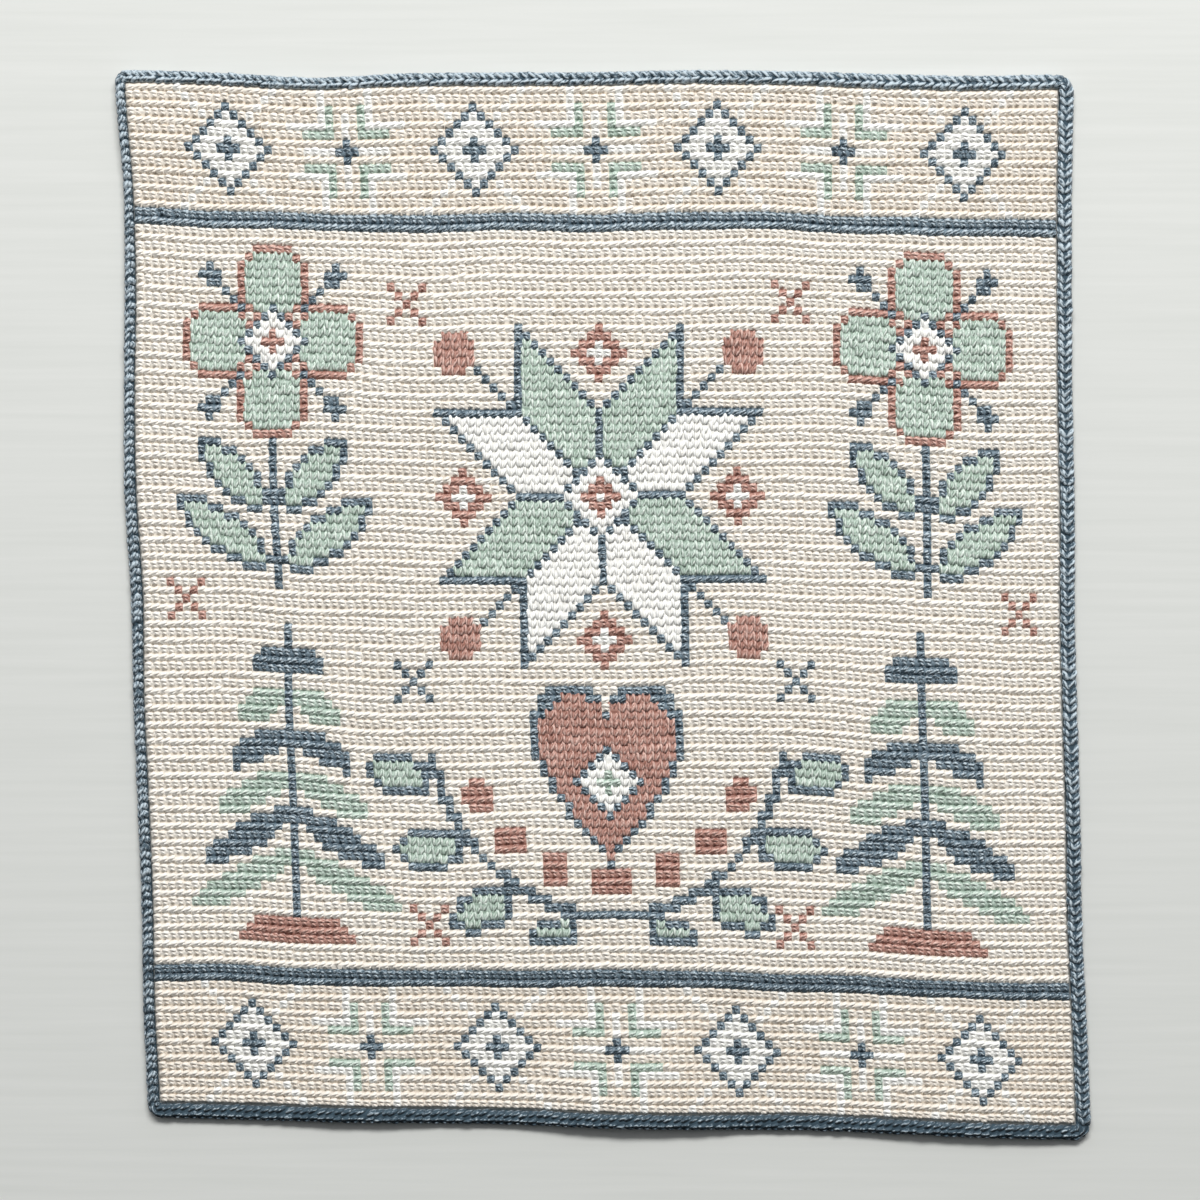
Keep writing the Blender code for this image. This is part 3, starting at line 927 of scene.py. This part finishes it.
def edging_core():
    """A tube along the route whose section is an oval: a share of the width by mm off the wall."""
    place = np.arange(EDGING_PITCHES) * route_length / EDGING_PITCHES
    turn = 2 * np.pi * np.arange(CORE_SIDES) / CORE_SIDES
    places, shares = np.broadcast_arrays(place[:, None], CORE_SHARE + CORE_SHARE_REACH * np.cos(turn))
    heights = (CORE_HEIGHT + CORE_HEIGHT_REACH * np.sin(turn)) * MM
    points = edging_point(places, shares, heights).reshape(-1, 3)
    ring, side = np.indices((EDGING_PITCHES, CORE_SIDES)).reshape(2, -1)
    following, beside = (ring + 1) % EDGING_PITCHES, (side + 1) % CORE_SIDES
    faces = np.stack([
        ring * CORE_SIDES + side, ring * CORE_SIDES + beside,
        following * CORE_SIDES + beside, following * CORE_SIDES + side,
    ], axis=1)
    mesh = bpy.data.meshes.new("edging_core")
    mesh.from_pydata(points, [], faces)
    mesh.polygons.foreach_set("use_smooth", np.ones(len(faces), bool))
    # Painted shade: the core takes the slate's shade colour all over, to stand for the dark pits between
    # the strands.
    shade = mesh.attributes.new("yarn_and_shade_colour", "FLOAT_COLOR", "CORNER")
    dark = np.tile(linear(YARN_COLOURS["slate"][0]), len(faces) * 4)
    shade.data.foreach_set("color", dark)
    print("edging_core:", len(faces) * 2, "triangles")
    return add_object("edging_core", mesh)


def edging_strands(lines, reaches, stations, sides, ring_shares):
    """One strand for each pitch of the route: lines and reaches hold a row for each pitch."""
    pitch = route_length / EDGING_PITCHES
    path = bend(lines, stations)
    place = (np.arange(EDGING_PITCHES)[:, None] + path[:, :, 0]) * pitch
    centre = edging_point(place, path[:, :, 1], path[:, :, 2] * MM)
    reach = reaches[:, None] * MM * ring_shares
    return spindles(centre, reach, reach * EDGING_FLATNESS, sides)


pitch_place = (np.arange(EDGING_PITCHES) + 0.5) * route_length / EDGING_PITCHES
pitch_side = route_side[np.searchsorted(route_place, pitch_place) % len(route_side)]
lines_by_side = np.array([EDGING_LINES[side] for side in SIDES])
reach_by_side = np.array([EDGING_REACH[side] for side in SIDES])
EDGING_UNEVENNESS = 0.08
UNEVEN_ACROSS, UNEVEN_HIDDEN = 0.4, 0.5  # less of it across the width, and in the two lower strands
# Painted light and shade for each side: the top and the sides lighter and the bottom much darker, as the
# light comes from above. The sides also get painted shade towards the bottom, as the light falls off.
SIDE_SHADE_TONES = np.array([0.20, 0.22, -0.54, 0.16])  # in the order of SIDES
SHADE_FALL = 0.35  # the edging gets darker towards the bottom
jitter = rng.normal(0.0, EDGING_UNEVENNESS, (EDGING_PITCHES, 4, 3))
jitter[:, :, 1] *= UNEVEN_ACROSS
edging_tone_and_shade = rng.normal(0.5, 0.12, EDGING_PITCHES) + SIDE_SHADE_TONES[pitch_side]
pitch_down = -on_route(route_rim[:, 2], pitch_place) / LEVEL_DROPS[-1]
edging_tone_and_shade -= SHADE_FALL * pitch_down**2 * (pitch_side != SIDES.index("bottom"))
edging_batches = []
for which in (0, 1):
    lines = lines_by_side[pitch_side, which] + jitter[:, which, None]
    reaches = reach_by_side[pitch_side, which] * rng.normal(1.0, EDGING_UNEVENNESS, EDGING_PITCHES)
    edging_batches.append(edging_strands(lines, reaches, 5, 5, RING_SHARES))
for which, fixed in ((2, RIM_LINE), (3, UNDER_LINE)):
    lines = np.array([fixed]) + jitter[:, which, None] * UNEVEN_HIDDEN
    reaches = np.full(EDGING_PITCHES, 1.0)
    edging_batches.append(edging_strands(lines, reaches, 4, 5, SECOND_RING_SHARES))
edging = lay_mesh("edging_stitches", edging_batches, [edging_tone_and_shade] * 4, finishes["slate"])
core = edging_core()
core.data.materials.append(ground.data.materials[0])
for piece in (edging, core):
    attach(piece, "root")
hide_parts("edging")

# %% [markdown]
# The hanging is a sheet of cloth, 460 mm by 511 mm without its edging as counted from its stitches and
# rows. The strands and the edging go with it.

# %% [markdown]
# ## Stage, light and camera
# The photograph was taken straight on, in soft daylight that comes from above and falls off towards the
# bottom, in front of a pale painted board. The board is stage. It shows only from its front, so the
# hanging can also be looked at from behind.

# %% The wall and the floor
WALL_GAP = 0.6 * MM
WALL_SIDE, WALL_TOP = 2.2, 1.6
FLOOR_SIDE, FLOOR_FRONT, FLOOR_BACK, FLOOR_LEVEL = 3.0, -4.0, 3.0, -1.1


def stage_piece(name, corners):
    """A flat rectangle of the stage, which neither shades nor lights the hanging."""
    mesh = bpy.data.meshes.new(name)
    mesh.from_pydata(corners, [], [(0, 1, 2, 3)])
    made = add_object(name, mesh)
    made.visible_shadow = False
    made.visible_diffuse = False
    made.visible_glossy = False
    return made


wall = stage_piece("wall", [
    (-WALL_SIDE, WALL_GAP, FLOOR_LEVEL), (WALL_SIDE, WALL_GAP, FLOOR_LEVEL),
    (WALL_SIDE, WALL_GAP, WALL_TOP), (-WALL_SIDE, WALL_GAP, WALL_TOP),
])
floor = stage_piece("floor", [
    (-FLOOR_SIDE, FLOOR_FRONT, FLOOR_LEVEL), (FLOOR_SIDE, FLOOR_FRONT, FLOOR_LEVEL),
    (FLOOR_SIDE, FLOOR_BACK, FLOOR_LEVEL), (-FLOOR_SIDE, FLOOR_BACK, FLOOR_LEVEL),
])

painted, shader = new_finish("painted_board", roughness=0.7, specular=0.2)
tree = painted.node_tree
place = add_node(tree, "ShaderNodeTexCoord").outputs["Object"]
stretched = add_node(tree, "ShaderNodeMapping", {"Vector": place, "Scale": (9.0, 1.0, 260.0)})
grain = add_node(tree, "ShaderNodeTexNoise", {"Vector": stretched.outputs[0], "Scale": 1.0, "Detail": 5.0})
paint_colour = add_node(tree, "ShaderNodeMix", {
    "Factor": grain.outputs["Fac"], "A": linear("#d4d6d2"), "B": linear("#e1e2df"),
}, data_type="RGBA")
tree.links.new(paint_colour.outputs["Result"], shader.inputs["Base Color"])
facing = add_node(tree, "ShaderNodeNewGeometry").outputs["Backfacing"]
through = add_node(tree, "ShaderNodeBsdfTransparent")
either = add_node(tree, "ShaderNodeMixShader", {0: facing, 1: shader.outputs[0], 2: through.outputs[0]})
tree.links.new(either.outputs[0], tree.nodes["Material Output"].inputs["Surface"])
wall.data.materials.append(painted)

floor_paint, shader = new_finish("pale_floor", roughness=0.8, specular=0.5)
shader.inputs["Base Color"].default_value = linear("#e6e5e1")
floor.data.materials.append(floor_paint)


# %% Light and camera
def area_light(name, place, aim, width, height, power, colour):
    """A soft rectangle of light that looks at a point."""
    data = bpy.data.lights.new(name, "AREA")
    data.shape = "RECTANGLE"
    data.size = width
    data.size_y = height
    data.energy = power
    data.color = colour
    made = add_object(name, data)
    made.location = place
    direction = np.array(aim) - np.array(place)
    made.rotation_euler = Vector(direction).to_track_quat("-Z", "Y").to_euler()


CENTRE_X, CENTRE_Z = 1.7 * MM, -264.3 * MM
FRAME_WIDTH = 601 * MM
CAMERA_DISTANCE = 1.6
SENSOR_WIDTH = 36.0
CLOTH_MIDDLE = (0.0, 0.0, -0.25)

area_light("window", (0.15, -2.2, 1.6), CLOTH_MIDDLE, 2.2, 0.6, 88.0, (1.0, 0.995, 0.98))
area_light("back_fill", (0.6, 1.6, 0.3), CLOTH_MIDDLE, 1.2, 1.2, 12.0, (1.0, 1.0, 1.0))
world = bpy.data.worlds.new("soft_room")
world.use_nodes = True
tree = world.node_tree
direction = add_node(tree, "ShaderNodeTexCoord").outputs["Generated"]
upward = add_node(tree, "ShaderNodeSeparateXYZ", {"Vector": direction}).outputs["Z"]
room = add_node(tree, "ShaderNodeMapRange", {
    "Value": upward, "From Min": -0.12, "From Max": 0.4, "To Min": 0.02, "To Max": 0.7,
})
tree.nodes["Background"].inputs["Color"].default_value = linear("#eef1f4")
tree.links.new(room.outputs["Result"], tree.nodes["Background"].inputs["Strength"])
bpy.context.scene.world = world
bpy.context.scene.view_settings.view_transform = "Standard"

camera_data = bpy.data.cameras.new("camera")
camera_data.sensor_width = SENSOR_WIDTH
camera_data.lens = SENSOR_WIDTH * CAMERA_DISTANCE / FRAME_WIDTH
camera = add_object("camera", camera_data)
camera.location = (CENTRE_X, -CAMERA_DISTANCE, CENTRE_Z)
camera.rotation_euler = (math.radians(90), 0.0, 0.0)
bpy.context.scene.camera = camera
